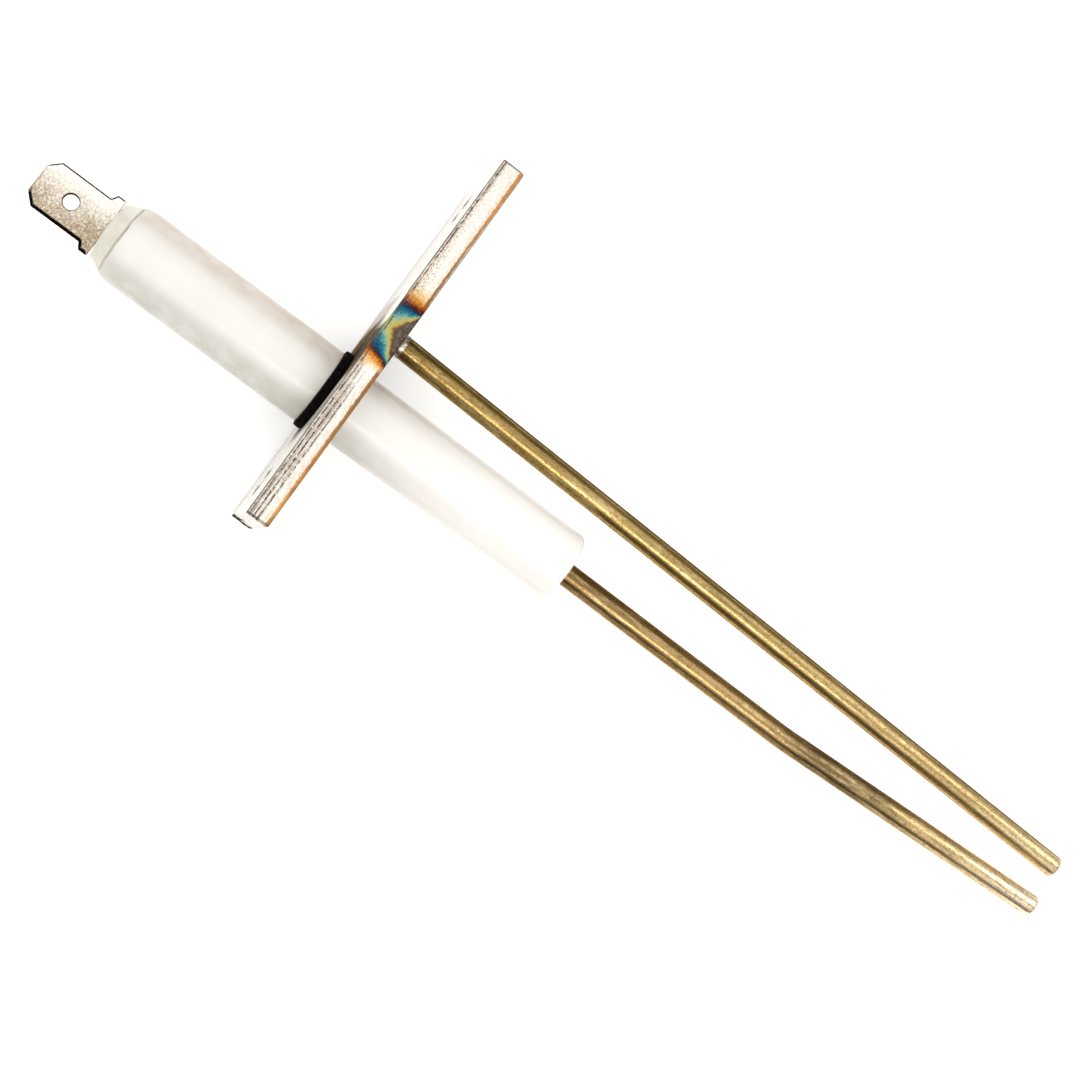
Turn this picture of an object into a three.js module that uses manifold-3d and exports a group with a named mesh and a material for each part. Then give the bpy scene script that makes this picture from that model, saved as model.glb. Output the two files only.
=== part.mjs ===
// Ignition electrode for a gas or oil burner: a ceramic insulator held in a steel mounting plate, a spark rod
// through the ceramic with a push-on terminal at its rear end, and an earth rod welded to the plate beside it.
//
// Millimetres, +Z up. +X runs along the insulator towards the rod tips, +Y along the plate towards the earth
// rod. The origin is on the insulator's axis, in the plate's burner-side face.

import * as THREE from 'three';
import * as BufferGeometryUtils from 'three/addons/utils/BufferGeometryUtils.js';
import Module from 'manifold-3d';

const wasm = await Module();
wasm.setup();

// ---------------------------------------------------------------- driving dimensions

// Mounting plate. The insulator sits nearer to one end.
const PLATE_LENGTH = 51;
const PLATE_WIDTH = 22;
const PLATE_THICKNESS = 3;
const PLATE_LOW_END_Y = -18;
const INSULATOR_HOLE_RADIUS = 4.95;
const FIXING_HOLE_RADIUS = 2.25;
const FIXING_HOLE_TO_END = 5;

// Insulator. Its rear part is thicker than the plate's hole, so its shoulder stops it there.
const INSULATOR_REAR_X = -34.3;
const INSULATOR_FRONT_X = 33;
const INSULATOR_REAR_RADIUS = 5;
const INSULATOR_NECK_RADIUS = 4.7;
const INSULATOR_TIP_RADIUS = 4.6;
const INSULATOR_BORE_RADIUS = 2;
const REAR_FACE_RADIUS = 3.7;
const REAR_CHAMFER_LENGTH = 1.9;
const REAR_CHAMFER_RADIUS = 4.6;
const REAR_ROUNDING_LENGTH = 2;
const FRONT_ROUNDING = 0.6;
const REAR_POCKET_RADIUS = 3;
const REAR_POCKET_DEPTH = 5.5;
const FRONT_POCKET_RADIUS = 2.7;
const FRONT_POCKET_DEPTH = 2.5;

// Sealing washer, clamped between the insulator's shoulder and the plate.
const WASHER_THICKNESS = 1.1;
const WASHER_RADIUS = 5.45;

// Rods. The spark rod leans a little in its bore, then bends towards the earth rod.
const ROD_RADIUS = 1.5;
const ROD_TIP_CHAMFER = 0.12;
const SPARK_ROD_CENTRE_LINE = [[-30.5, 0.2], [69.4, -0.7], [111.4, 1.1]];
const SPARK_ROD_BEND_LENGTH = 3;
const EARTH_ROD_CENTRE_LINE = [[1, 10], [111.2, 7.1]];
const WELD_FOOT_RADIUS = 2;

// Push-on terminal: a 6.3 x 0.8 blade whose tail lies on a flat of the spark rod and is welded there.
const BLADE_WIDTH = 6.3;
const BLADE_THICKNESS = 0.8;
const BLADE_TIP_X = -44.1;
const BLADE_TIP_CHAMFER = 1.3;
const BLADE_HOLE_RADIUS = 0.95;
const BLADE_HOLE_FROM_TIP = 4.6;
const STOP_FRONT_X = -36.2;
const STOP_REAR_X = -34.6;
const STOP_WIDTH = 7.9;
const STOP_ROUNDING = 0.45;
const TAIL_WIDTH = 2.6;
const TAIL_END_X = -26.6;
const ROD_FLAT_LENGTH = 4.5;
const TAIL_WELD_WIDTH = 2;
const CEMENT_RISE = 0.2;

// Clearances: between rings that share an axis, and where a piece is cut around another.
const RING_GAP = 0.03;
const CUT_GAP = 0.1;

// Facets.
const WIDE_SIDES = 48;
const ROD_SIDES = 24;
const CURVE_STEPS = 4;

// ---------------------------------------------------------------- materials

const plateSteel = { color: 0xcfc8bc, roughness: 0.35, metalness: 1 };
const glazedWhite = { color: 0xf2efe8, roughness: 0.4, metalness: 0 };
const blackGraphite = { color: 0x17150f, roughness: 0.85, metalness: 0 };
const paleCement = { color: 0xdfe0d6, roughness: 0.9, metalness: 0 };
const heatResistingWire = { color: 0x8f7a44, roughness: 0.35, metalness: 1 };
const oxidisedWeld = { color: 0x6d6152, roughness: 0.5, metalness: 1 };
const tinnedSteel = { color: 0xcdc5b8, roughness: 0.45, metalness: 1 };

// ---------------------------------------------------------------- tools for shapes

// A closed solid from a geometry: shared corners are merged, and triangles that shrink to a line are dropped.
function toSolid(geometry) {
  const bare = geometry.clone();
  bare.deleteAttribute('normal');
  bare.deleteAttribute('uv');
  const merged = BufferGeometryUtils.mergeVertices(bare, 1e-4);
  const corners = merged.index.array;
  const triangles = [];
  for (let i = 0; i < corners.length; i += 3) {
    const [a, b, c] = corners.slice(i, i + 3);
    if (a !== b && b !== c && c !== a) triangles.push(a, b, c);
  }
  return new wasm.Manifold(new wasm.Mesh({
    numProp: 3,
    vertProperties: Float32Array.from(merged.attributes.position.array),
    triVerts: Uint32Array.from(triangles),
  }));
}

function toGeometry(solid) {
  const mesh = solid.getMesh();
  const geometry = new THREE.BufferGeometry();
  geometry.setAttribute('position', new THREE.BufferAttribute(Float32Array.from(mesh.vertProperties), 3));
  geometry.setIndex(new THREE.BufferAttribute(Uint32Array.from(mesh.triVerts), 1));
  return geometry.toNonIndexed();
}

// A turned solid about the X axis, from a list of [x, radius] points.
function turned(profile, sides) {
  const points = profile.map(([x, radius]) => new THREE.Vector2(radius, x));
  const geometry = new THREE.LatheGeometry(points, sides);
  // The lathe turns about Y: lay that axis along +X.
  geometry.rotateZ(-Math.PI / 2);
  return geometry;
}

function cylinder(fromX, toX, radius, sides) {
  return turned([[fromX, 0], [fromX, radius], [toX, radius], [toX, 0]], sides);
}

function ring(fromX, toX, innerRadius, outerRadius) {
  const start = [fromX, innerRadius];
  return turned([start, [fromX, outerRadius], [toX, outerRadius], [toX, innerRadius], start], WIDE_SIDES);
}

// Points of a quarter ellipse that turns the profile from radius `fromRadius` at `fromX` to `toRadius` at `toX`.
// It leaves the first point along the axis if `axialStart`, and reaches the second along the axis if not.
function quarterTurn([fromX, fromRadius], [toX, toRadius], axialStart) {
  const points = [];
  for (let step = 0; step <= CURVE_STEPS; step += 1) {
    const angle = (step / CURVE_STEPS) * (Math.PI / 2);
    const rise = Math.sin(angle);
    const run = 1 - Math.cos(angle);
    const [along, across] = axialStart ? [rise, run] : [run, rise];
    points.push([fromX + (toX - fromX) * along, fromRadius + (toRadius - fromRadius) * across]);
  }
  return points;
}

function boxBetween(low, high) {
  const size = high.map((value, axis) => value - low[axis]);
  const geometry = new THREE.BoxGeometry(...size);
  geometry.translate(...high.map((value, axis) => (value + low[axis]) / 2));
  return geometry;
}

// ---------------------------------------------------------------- plate, washer and bond

const plateHighEndY = PLATE_LOW_END_Y + PLATE_LENGTH;
const shoulderX = -PLATE_THICKNESS - WASHER_THICKNESS;

function mountingPlate() {
  const low = [-PLATE_THICKNESS, PLATE_LOW_END_Y, -PLATE_WIDTH / 2];
  const high = [0, plateHighEndY, PLATE_WIDTH / 2];
  const holes = [
    [0, INSULATOR_HOLE_RADIUS, WIDE_SIDES],
    [PLATE_LOW_END_Y + FIXING_HOLE_TO_END, FIXING_HOLE_RADIUS, ROD_SIDES],
    [plateHighEndY - FIXING_HOLE_TO_END, FIXING_HOLE_RADIUS, ROD_SIDES],
  ];
  let plate = toSolid(boxBetween(low, high));
  for (const [y, radius, sides] of holes) {
    const cutter = cylinder(-PLATE_THICKNESS - 1, 1, radius, sides);
    cutter.translate(0, y, 0);
    plate = plate.subtract(toSolid(cutter));
  }
  return toGeometry(plate);
}

function sealWasher() {
  return ring(shoulderX, -PLATE_THICKNESS, INSULATOR_NECK_RADIUS + RING_GAP, WASHER_RADIUS);
}

// Cement that fills the space between the insulator and the plate's hole.
function bondRing() {
  const inner = INSULATOR_NECK_RADIUS + RING_GAP;
  const outer = INSULATOR_HOLE_RADIUS - RING_GAP;
  return ring(-PLATE_THICKNESS, 0, inner, outer);
}

// ---------------------------------------------------------------- insulator

const rearPocketX = INSULATOR_REAR_X + REAR_POCKET_DEPTH;
const frontPocketX = INSULATOR_FRONT_X - FRONT_POCKET_DEPTH;

function ceramicInsulator() {
  const chamferX = INSULATOR_REAR_X + REAR_CHAMFER_LENGTH;
  const roundingX = chamferX + REAR_ROUNDING_LENGTH;
  const frontCornerX = INSULATOR_FRONT_X - FRONT_ROUNDING;
  const rearEdge = quarterTurn([chamferX, REAR_CHAMFER_RADIUS], [roundingX, INSULATOR_REAR_RADIUS], false);
  const frontEdge = quarterTurn(
    [frontCornerX, INSULATOR_TIP_RADIUS],
    [INSULATOR_FRONT_X, INSULATOR_TIP_RADIUS - FRONT_ROUNDING],
    true,
  );
  const start = [INSULATOR_REAR_X, REAR_POCKET_RADIUS];
  return turned([
    start,
    [INSULATOR_REAR_X, REAR_FACE_RADIUS],
    ...rearEdge,
    [shoulderX, INSULATOR_REAR_RADIUS],
    [shoulderX, INSULATOR_NECK_RADIUS],
    [0, INSULATOR_NECK_RADIUS],
    ...frontEdge,
    [INSULATOR_FRONT_X, FRONT_POCKET_RADIUS],
    [frontPocketX, FRONT_POCKET_RADIUS],
    [frontPocketX, INSULATOR_BORE_RADIUS],
    [rearPocketX, INSULATOR_BORE_RADIUS],
    [rearPocketX, REAR_POCKET_RADIUS],
    start,
  ], WIDE_SIDES);
}

// ---------------------------------------------------------------- rods

// The height of a line of [x, y] points at x.
function lineAt(line, x) {
  let [from, to] = line;
  if (line.length > 2 && x > to[0]) [from, to] = [to, line[2]];
  return from[1] + ((x - from[0]) / (to[0] - from[0])) * (to[1] - from[1]);
}

// Moves every point sideways by the centre line's height at that point's x.
function followLine(geometry, line) {
  const position = geometry.attributes.position;
  for (let i = 0; i < position.count; i += 1) {
    position.setY(i, position.getY(i) + lineAt(line, position.getX(i)));
  }
  return geometry;
}

function rodAlong(line, radius) {
  const startX = line[0][0];
  const endX = line[line.length - 1][0];
  const profile = [[startX, 0], [startX, radius]];
  if (line.length > 2) profile.push([line[1][0], radius]);
  profile.push([endX - ROD_TIP_CHAMFER, radius], [endX, radius - ROD_TIP_CHAMFER], [endX, 0]);
  return followLine(turned(profile, ROD_SIDES), line);
}

const flatZ = -BLADE_THICKNESS / 2;
const flatEndX = SPARK_ROD_CENTRE_LINE[0][0] + ROD_FLAT_LENGTH;

// The spark rod's rear end is milled to a flat for the terminal's tail.
function sparkRod(extraRadius) {
  const rod = toSolid(rodAlong(SPARK_ROD_CENTRE_LINE, ROD_RADIUS + extraRadius));
  const low = [SPARK_ROD_CENTRE_LINE[0][0] - 1, -2 * ROD_RADIUS, flatZ - CUT_GAP + extraRadius];
  const high = [flatEndX, 2 * ROD_RADIUS, 2 * ROD_RADIUS];
  return rod.subtract(toSolid(boxBetween(low, high)));
}

function earthRod() {
  return rodAlong(EARTH_ROD_CENTRE_LINE, ROD_RADIUS);
}

// Weld metal between the plate and the earth rod, with a hollow flank from its foot to the rod.
function earthWeld() {
  const [rodStartX, rootY] = EARTH_ROD_CENTRE_LINE[0];
  const flank = quarterTurn([0, WELD_FOOT_RADIUS], [rodStartX, ROD_RADIUS], false);
  const weld = turned([[0, 0], ...flank, [rodStartX, 0]], ROD_SIDES);
  weld.translate(0, rootY, 0);
  return weld;
}

// ---------------------------------------------------------------- terminal

function terminalShape() {
  const half = BLADE_WIDTH / 2;
  const stopHalf = STOP_WIDTH / 2;
  const side = [
    [BLADE_TIP_X, half - BLADE_TIP_CHAMFER],
    [BLADE_TIP_X + BLADE_TIP_CHAMFER, half],
    [STOP_FRONT_X, half],
    [STOP_FRONT_X + STOP_ROUNDING, stopHalf],
    [STOP_REAR_X, stopHalf],
    [STOP_REAR_X, TAIL_WIDTH / 2],
    [TAIL_END_X, TAIL_WIDTH / 2],
  ];
  const otherSide = side.map(([x, y]) => [x, -y]).reverse();
  const shape = new THREE.Shape([...side, ...otherSide].map(([x, y]) => new THREE.Vector2(x, y)));
  const hole = new THREE.Path();
  hole.absarc(BLADE_TIP_X + BLADE_HOLE_FROM_TIP, 0, BLADE_HOLE_RADIUS, 0, 2 * Math.PI);
  shape.holes.push(hole);
  return shape;
}

function terminalTab() {
  const geometry = new THREE.ExtrudeGeometry(terminalShape(), {
    depth: BLADE_THICKNESS,
    bevelEnabled: false,
    curveSegments: ROD_SIDES,
  });
  geometry.translate(0, 0, -BLADE_THICKNESS / 2);
  return geometry;
}

// Weld metal in the notch between the tail's end and the step of the spark rod, with a round top.
function tailWeld() {
  const radius = (flatEndX - TAIL_END_X) / 2 - RING_GAP;
  const section = new THREE.Shape();
  section.moveTo(-radius, flatZ);
  section.lineTo(radius, flatZ);
  section.absarc(0, -flatZ, radius, 0, Math.PI);
  section.closePath();
  const geometry = new THREE.ExtrudeGeometry(section, {
    depth: TAIL_WELD_WIDTH,
    bevelEnabled: false,
    curveSegments: CURVE_STEPS,
  });
  // The section is drawn in X and Y: stand it up, so that it is drawn in X and Z.
  geometry.rotateX(Math.PI / 2);
  geometry.translate((flatEndX + TAIL_END_X) / 2, TAIL_WELD_WIDTH / 2, 0);
  return geometry;
}

// ---------------------------------------------------------------- cement plugs

function frontCement() {
  const plug = cylinder(frontPocketX, INSULATOR_FRONT_X, FRONT_POCKET_RADIUS - RING_GAP, WIDE_SIDES);
  return toGeometry(toSolid(plug).subtract(sparkRod(CUT_GAP)));
}

function rearCement() {
  const rearX = INSULATOR_REAR_X - CEMENT_RISE;
  const plug = toSolid(cylinder(rearX, rearPocketX, REAR_POCKET_RADIUS - RING_GAP, WIDE_SIDES));
  const half = TAIL_WIDTH / 2 + CUT_GAP;
  const low = [rearX - 1, -half, flatZ - CUT_GAP];
  const high = [rearPocketX + 1, half, -flatZ + CUT_GAP];
  return toGeometry(plug.subtract(toSolid(boxBetween(low, high))).subtract(sparkRod(CUT_GAP)));
}

// ---------------------------------------------------------------- assembly

function named(name, geometry, finish) {
  geometry.computeVertexNormals();
  const mesh = new THREE.Mesh(geometry, new THREE.MeshStandardMaterial(finish));
  mesh.name = name;
  return mesh;
}

const electrode = new THREE.Group();

const plateGroup = new THREE.Group();
plateGroup.add(named('mounting_plate', mountingPlate(), plateSteel));
plateGroup.add(named('seal_washer', sealWasher(), blackGraphite));
plateGroup.add(named('bond_ring', bondRing(), paleCement));
plateGroup.add(named('earth_rod', earthRod(), heatResistingWire));
plateGroup.add(named('earth_rod_weld', earthWeld(), oxidisedWeld));

const sparkGroup = new THREE.Group();
sparkGroup.add(named('ceramic_insulator', ceramicInsulator(), glazedWhite));
sparkGroup.add(named('spark_rod', toGeometry(sparkRod(0)), heatResistingWire));
sparkGroup.add(named('front_cement', frontCement(), paleCement));
sparkGroup.add(named('rear_cement', rearCement(), paleCement));
sparkGroup.add(named('terminal_tab', terminalTab(), tinnedSteel));
sparkGroup.add(named('tail_weld', tailWeld(), oxidisedWeld));

electrode.add(plateGroup, sparkGroup);

export default electrode;
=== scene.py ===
"""Ignition electrode, lying on a pale table and seen from above.

Metres, in the CAD model's frame: +X along the insulator towards the rod tips, +Y along the plate towards the
earth rod, +Z up, with the origin on the insulator's axis in the plate's burner-side face.
"""
import math

import bmesh
import bpy
from mathutils import Matrix, Vector, noise


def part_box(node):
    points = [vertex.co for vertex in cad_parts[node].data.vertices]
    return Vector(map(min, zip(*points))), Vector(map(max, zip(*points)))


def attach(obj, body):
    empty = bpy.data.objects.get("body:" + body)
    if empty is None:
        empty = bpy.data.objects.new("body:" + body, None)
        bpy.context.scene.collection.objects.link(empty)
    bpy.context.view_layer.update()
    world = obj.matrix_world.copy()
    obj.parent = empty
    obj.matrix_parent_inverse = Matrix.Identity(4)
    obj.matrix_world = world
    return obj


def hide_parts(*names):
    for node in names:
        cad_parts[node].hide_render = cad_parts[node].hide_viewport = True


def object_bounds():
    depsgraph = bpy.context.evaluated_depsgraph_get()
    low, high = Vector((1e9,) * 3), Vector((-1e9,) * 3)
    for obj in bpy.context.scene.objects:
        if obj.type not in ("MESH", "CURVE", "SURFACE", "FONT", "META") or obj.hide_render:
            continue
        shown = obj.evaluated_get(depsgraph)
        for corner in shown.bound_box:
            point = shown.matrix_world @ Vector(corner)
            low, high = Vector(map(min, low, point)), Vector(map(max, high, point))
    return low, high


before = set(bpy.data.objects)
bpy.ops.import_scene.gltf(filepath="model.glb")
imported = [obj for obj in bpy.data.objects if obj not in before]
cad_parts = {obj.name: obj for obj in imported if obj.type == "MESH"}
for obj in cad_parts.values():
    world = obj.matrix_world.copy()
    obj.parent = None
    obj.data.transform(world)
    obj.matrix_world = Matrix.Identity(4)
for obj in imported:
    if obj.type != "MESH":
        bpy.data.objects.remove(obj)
cad_low, cad_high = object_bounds()

MM = 0.001


# -------- camera

CAMERA_PLACE = Vector((-0.0139, -0.0303, 0.2082))
CAMERA_FORWARD = Vector((0.1978, 0.1462, -0.9693))
CAMERA_UP = Vector((-0.5857, 0.8105, 0.0027))
CAMERA_LENS_MM = 58.07
CAMERA_SENSOR_MM = 36.0
CAMERA_CLIP_START = 0.01


def make_camera():
    data = bpy.data.cameras.new("camera")
    data.lens = CAMERA_LENS_MM
    data.sensor_width = CAMERA_SENSOR_MM
    data.clip_start = CAMERA_CLIP_START
    camera = bpy.data.objects.new("camera", data)
    back = -CAMERA_FORWARD.normalized()
    right = CAMERA_UP.cross(back).normalized()
    up = back.cross(right)
    camera.matrix_world = Matrix.Translation(CAMERA_PLACE) @ Matrix((right, up, back)).transposed().to_4x4()
    bpy.context.scene.collection.objects.link(camera)
    bpy.context.scene.camera = camera


make_camera()


# -------- sizes taken from the frame

plate_low, plate_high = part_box("mounting_plate")
washer_low, washer_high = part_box("seal_washer")
insulator_low, insulator_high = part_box("ceramic_insulator")
spark_low, spark_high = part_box("spark_rod")
earth_low, earth_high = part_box("earth_rod")
weld_low, weld_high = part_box("earth_rod_weld")
tab_low, tab_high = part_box("terminal_tab")
front_cement_low, front_cement_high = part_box("front_cement")
rear_cement_low, rear_cement_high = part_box("rear_cement")
bond_low, bond_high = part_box("bond_ring")

PLATE_THICKNESS = plate_high.x - plate_low.x
EARTH_ROOT_Y = (weld_low.y + weld_high.y) / 2
ROD_RADIUS = (earth_high.z - earth_low.z) / 2
INSULATOR_RADIUS = insulator_high.z
NECK_RADIUS = 4.7 * MM
INSULATOR_TIP_RADIUS = 4.6 * MM
PLATE_HOLE_RADIUS = 4.95 * MM
FIXING_HOLE_RADIUS = 2.25 * MM
FIXING_HOLE_TO_END = 5 * MM
# The rear chamfer: how far along the insulator it ends, and the radius there.
REAR_CHAMFER_LENGTH = 1.9 * MM
REAR_CHAMFER_RADIUS = 4.6 * MM


# -------- material tools

class ShaderTree:
    """The nodes of a material or a world. A node's input is a value, or another node's output, which is linked.
    `place` is a piece's point in the frame, in metres, as every piece sits at the origin. `colour` and `normal` are
    the base colour and the bumped normal so far."""

    def __init__(self, owner, coordinates="Object"):
        owner.use_nodes = True
        owner.node_tree.nodes.clear()
        self.owner = owner
        self.colour = self.normal = None
        self.place = self.node("TexCoord", {}).outputs[coordinates]

    def node(self, kind, inputs, **settings):
        made = self.owner.node_tree.nodes.new("ShaderNode" + kind)
        for name, value in settings.items():
            setattr(made, name, value)
        for name, value in inputs.items():
            socket = made.inputs[name]
            if isinstance(value, bpy.types.NodeSocket):
                self.owner.node_tree.links.new(value, socket)
            elif socket.type == "RGBA":
                socket.default_value = (*value, 1)
            else:
                socket.default_value = value
        return made

    def axes(self):
        return tuple(self.node("SeparateXYZ", {0: self.place}).outputs)

    def maths(self, operation, a, b=0.0, c=0.0):
        return self.node("Math", {0: a, 1: b, 2: c}, operation=operation).outputs[0]

    def plus(self, a, b):
        return self.maths("ADD", a, b)

    def minus(self, a, b):
        return self.maths("SUBTRACT", a, b)

    def scaled(self, value, factor, offset):
        """value * factor + offset"""
        return self.maths("MULTIPLY_ADD", value, factor, offset)

    def product(self, *factors):
        result = factors[0]
        for factor in factors[1:]:
            result = self.maths("MULTIPLY", result, factor)
        return result

    def off(self, a, b):
        """How far a is from b."""
        return self.maths("ABSOLUTE", self.minus(a, b))

    def hypot(self, a, b):
        return self.maths("SQRT", self.plus(self.product(a, a), self.product(b, b)))

    def remap(self, value, from_low, from_high, to_low=0.0, to_high=1.0):
        inputs = {0: value, 1: from_low, 2: from_high, 3: to_low, 4: to_high}
        return self.node("MapRange", inputs, clamp=True).outputs[0]

    def falling(self, value, from_low, from_high):
        return self.remap(value, from_low, from_high, 1.0, 0.0)

    def swing(self, noise_value, reach, half_range=0.2):
        """Noise as an offset of up to the reach, either way."""
        return self.remap(noise_value, 0.5 - half_range, 0.5 + half_range, -reach, reach)

    def band(self, value, middle, half_width, softness):
        """1 within half_width of the middle, falling to 0 over the softness."""
        return self.falling(self.minus(self.off(value, middle), half_width), 0.0, softness)

    def noise(self, scale, detail=3, roughness=0.55, distortion=0.0):
        """Noise of one scale, or of one for each axis."""
        vector = self.place
        if isinstance(scale, tuple):
            vector = self.node("VectorMath", {0: vector, 1: scale}, operation="MULTIPLY").outputs[0]
            scale = 1.0
        inputs = {"Vector": vector, "Scale": scale, "Detail": detail, "Roughness": roughness}
        return self.node("TexNoise", {**inputs, "Distortion": distortion}).outputs[0]

    def ramp(self, value, stops):
        """A colour ramp through (place, colour) stops."""
        made = self.node("ValToRGB", {0: value})
        elements = made.color_ramp.elements
        while len(elements) < len(stops):
            elements.new(0.5)
        for element, (place, colour) in zip(elements, stops):
            element.position = place
            element.color = (*colour, 1)
        return made.outputs[0]

    def mix(self, share, a, b):
        return self.node("Mix", {0: share, 6: a, 7: b}, data_type="RGBA").outputs[2]

    def paint(self, colour, *shares):
        """Covers the base colour by the product of the shares."""
        self.colour = self.mix(self.product(*shares), self.colour, colour)

    def bump(self, height, distance, strength):
        inputs = {"Height": height, "Distance": distance, "Strength": strength}
        if self.normal:
            inputs["Normal"] = self.normal
        self.normal = self.node("Bump", inputs).outputs[0]

    def finish(self, **principled):
        """Links a Principled shader with the base colour and the given inputs. Underscores stand for spaces."""
        inputs = {name.replace("_", " "): value for name, value in principled.items()}
        if self.normal:
            inputs["Normal"] = self.normal
        shader = self.node("BsdfPrincipled", {"Base Color": self.colour, **inputs})
        self.node("OutputMaterial", {"Surface": shader.outputs[0]})
        return self.owner


def new_material(name):
    return ShaderTree(bpy.data.materials.new(name))


# -------- plate steel with the weld's heat tint

HEAT_CENTRE_Y = 8.6 * MM
HEAT_HALF_WIDTH = 3.6 * MM
HEAT_CORE_HALF_WIDTH = 3.2 * MM
HEAT_CORE_DEPTH = 1.75 * MM
# How far the tint's middle moves towards +Y, and how much it narrows, for each metre below the burner-side face.
HEAT_SLANT = 0.17
# What changes from the plate's long edges to the middle of its width: the tint is wider by a share and by a
# length, lies further along +Y, and its core is deeper.
HEAT_MIDDLE_SPREAD = 0.3
HEAT_MIDDLE_WIDTH = 1.2 * MM
HEAT_MIDDLE_SHIFT = 1.0 * MM
HEAT_MIDDLE_DEPTH = 2.4 * MM
# How fast the colours fade outside the tint, per metre: slower by the face towards the terminal and on the side
# of +Y.
HEAT_FADE = 210.0
HEAT_DEEP_FADE = 120.0

STEEL = (0.66, 0.63, 0.585)
# Lighter steel for the face towards the terminal: painted light, standing in for the brighter reflection that face
# shows.
REAR_FACE_LIGHTENED_STEEL = (0.80, 0.775, 0.735)
HEAT_COLOURS = [
    (0.00, (0.060, 0.042, 0.026)),
    (0.18, (0.080, 0.054, 0.030)),
    (0.235, (0.20, 0.115, 0.028)),
    (0.29, (0.32, 0.245, 0.065)),
    (0.36, (0.28, 0.28, 0.11)),
    (0.42, (0.16, 0.26, 0.18)),
    (0.49, (0.024, 0.14, 0.175)),
    (0.56, (0.004, 0.060, 0.115)),
    (0.62, (0.006, 0.016, 0.04)),
    (0.65, (0.040, 0.005, 0.007)),
    (0.70, (0.22, 0.045, 0.004)),
    (0.77, (0.42, 0.175, 0.020)),
    (0.85, (0.60, 0.43, 0.20)),
    (0.97, STEEL),
]
# The ramp's places for the tint's inner and outer boundary.
HEAT_CORE_AT = 0.2
HEAT_EDGE_AT = 0.635
# The scaled metal inside the tint, from the weld outwards.
SCALE_COLOURS = [
    (0.00, (0.20, 0.19, 0.175)),
    (0.22, (0.085, 0.085, 0.095)),
    (0.48, (0.105, 0.078, 0.055)),
    (0.75, (0.060, 0.055, 0.062)),
    (1.00, (0.060, 0.042, 0.026)),
]


def heat_tint(tree):
    """The oxide colours around the earth rod: a band across the plate, wider at the middle of its width and at
    the burner-side face, where the rod is welded. Gives the colour, and the place along the ramp."""
    x, y, z = tree.axes()
    depth = tree.product(x, -1.0)
    across = tree.maths("DIVIDE", z, plate_high.z)
    middle = tree.minus(1.0, tree.product(across, across))
    spread = tree.scaled(middle, HEAT_MIDDLE_SPREAD, 1.0)
    wander = tree.swing(tree.noise(900, 2), 0.16 * MM)
    streaks = tree.noise((700, 4200, 4200), 2)
    streak_shift = tree.swing(streaks, 0.13 * MM)
    centre = tree.scaled(middle, HEAT_MIDDLE_SHIFT, HEAT_CENTRE_Y)
    centre = tree.scaled(depth, HEAT_SLANT, centre)
    from_centre = tree.plus(tree.off(y, centre), tree.plus(wander, streak_shift))
    mottle = tree.swing(tree.noise(240, 4, 0.6), 1.1 * MM)
    from_centre = tree.plus(from_centre, tree.product(mottle, middle))
    outer = tree.product(tree.scaled(depth, -HEAT_SLANT, HEAT_HALF_WIDTH), spread)
    outer = tree.scaled(middle, HEAT_MIDDLE_WIDTH, outer)
    core_depth = tree.scaled(middle, HEAT_MIDDLE_DEPTH, HEAT_CORE_DEPTH)
    core_share = tree.minus(1.0, tree.maths("DIVIDE", depth, core_depth))
    core = tree.product(core_share, HEAT_CORE_HALF_WIDTH)
    share = tree.maths("DIVIDE", tree.minus(from_centre, core), tree.minus(outer, core))
    at = tree.scaled(share, HEAT_EDGE_AT - HEAT_CORE_AT, HEAT_CORE_AT)
    outside = tree.minus(from_centre, outer)
    fade = tree.remap(depth, 0.5 * MM, 2.3 * MM, HEAT_FADE, HEAT_DEEP_FADE)
    is_high_side = tree.maths("GREATER_THAN", y, centre)
    slower = tree.minus(HEAT_DEEP_FADE, fade)
    fade = tree.scaled(is_high_side, slower, fade)
    at_outside = tree.scaled(outside, fade, HEAT_EDGE_AT)
    is_outside = tree.maths("GREATER_THAN", outside, 0.0)
    is_inside = tree.minus(1.0, is_outside)
    at = tree.plus(tree.product(is_outside, at_outside), tree.product(is_inside, at))
    at = tree.plus(at, tree.swing(tree.noise(4600, 2), 0.025, 0.15))
    from_root = tree.hypot(tree.minus(y, EARTH_ROOT_Y), z)
    scale_at = tree.scaled(mottle, 1.2, from_root)
    scale = tree.ramp(tree.remap(scale_at, 1.6 * MM, 10.5 * MM), SCALE_COLOURS)
    flecks = tree.remap(tree.noise(2600, 3, 0.6), 0.46, 0.62, 0.0, 0.55)
    scale = tree.mix(flecks, scale, (0.15, 0.125, 0.13))
    in_core = tree.falling(at, 0.04, 0.17)
    return tree.mix(in_core, tree.ramp(at, HEAT_COLOURS), scale), at


# The marks on the plate's face towards the terminal.
STAIN_MIDDLE_Y = 5.6 * MM
STAIN_HALF_WIDTH = 6.4 * MM
STAIN_HALF_HEIGHT = 16 * MM
SOOT_SHADOW_FROM_RADIUS = 5.6 * MM
SOOT_SHADOW_TO_RADIUS = 8.2 * MM
REFLECTION_MIDDLE_Y = 11.3 * MM
# The dark lines along the long edges: x, strength, and whether they are only by the low end.
DARK_EDGE_LINES = ((-2.66 * MM, 0.9, False), (-2.12 * MM, 0.95, True), (-1.55 * MM, 0.85, True))
DARK_EDGE_LINE_COLOUR = (0.05, 0.035, 0.03)
# The tears in the low end face: x, and the z where they start.
TEARS = ((-1.9 * MM, -3 * MM), (-0.45 * MM, -5 * MM))


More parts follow.
